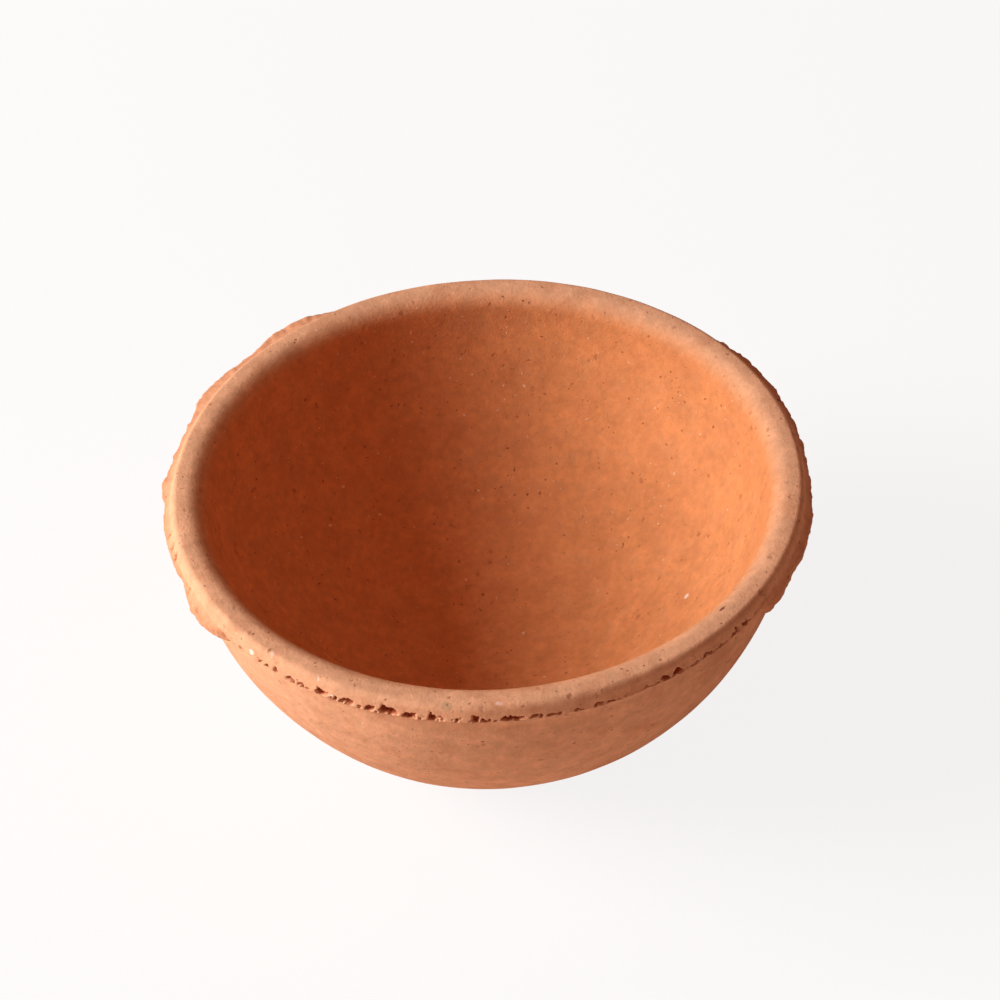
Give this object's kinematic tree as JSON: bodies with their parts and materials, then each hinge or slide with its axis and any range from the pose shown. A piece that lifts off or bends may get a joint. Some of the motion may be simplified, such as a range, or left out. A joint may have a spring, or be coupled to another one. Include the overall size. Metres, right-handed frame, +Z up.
{
  "type": "foundry crucible",
  "caption": "Small round-bottomed crucible bowl of fired clay with a rolled rim, a collar of ragged torn flash and a flat foot, for melting small lots of metal.",
  "frame": {"origin": "centre of the flat foot that the bowl stands on", "axes": "+Z up the bowl's axis, out of its mouth; +X to the right and -Y towards the side where the flash is broken off flush"},
  "size_m": [0.06, 0.0598, 0.0265],
  "materials": {
    "fired_clay": "matte, unglazed, fine-grained with specks of grog"
  },
  "bodies": {
    "root": {"melting_bowl": "fired_clay"}
  },
  "joints": []
}
